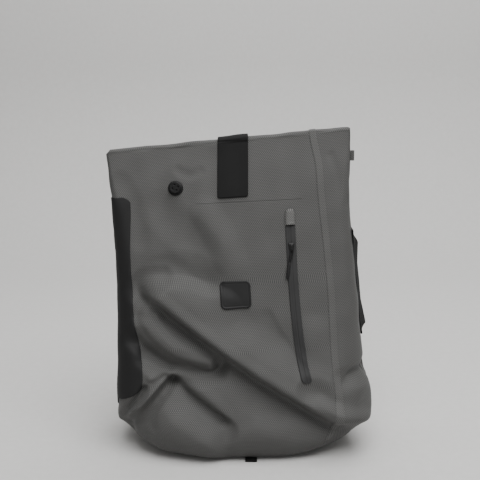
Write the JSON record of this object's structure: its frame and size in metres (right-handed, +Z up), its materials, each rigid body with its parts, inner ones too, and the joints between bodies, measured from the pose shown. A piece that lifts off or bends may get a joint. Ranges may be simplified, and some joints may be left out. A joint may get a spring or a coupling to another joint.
{
  "type": "bicycle messenger backpack",
  "caption": "Upright fold-top backpack of grey coated fabric with black strap, zip, valve, label patch and side handle, and padded shoulder straps behind.",
  "frame": {"origin": "on the floor under the middle of the bounding box, bag standing on its base", "axes": "+Z up, +X to the viewer's right, front panel faces -Y"},
  "size_m": [0.348, 0.1802, 0.4145],
  "materials": {
    "fabric_body": "matt coated weave",
    "fabric_trim": "matt coated weave",
    "base_board": "stiffened coated cloth",
    "black_rubber": "matt",
    "black_strap": "matt",
    "label_rubber": "matt",
    "valve_rubber": "satin",
    "zip_tape": "matt",
    "pull_cord": "matt",
    "black_plastic": "satin",
    "webbing": "woven",
    "padding": "padded mesh"
  },
  "bodies": {
    "root": {"front_panel": "fabric_body", "right_gusset": "fabric_body", "left_gusset": "fabric_body", "back_panel": "fabric_body", "base_panel": "base_board", "seam_band": "fabric_trim", "side_patch": "black_rubber", "closure_strap": "black_strap", "label_patch": "label_rubber", "zip_tape": "zip_tape", "zip_garage": "fabric_trim", "zip_slider": "black_plastic", "zip_pull": "pull_cord", "valve_flange": "valve_rubber", "valve_cap": "valve_rubber", "side_handle": "webbing", "side_tab": "fabric_trim", "bottom_tab": "webbing", "back_pad": "padding", "shoulder_strap_left": "padding", "shoulder_strap_right": "padding", "ladder_lock_left": "black_plastic", "ladder_lock_right": "black_plastic", "strap_webbing_left": "webbing", "strap_webbing_right": "webbing", "strap_anchor_left": "webbing", "strap_anchor_right": "webbing", "grab_handle": "webbing"}
  },
  "joints": []
}
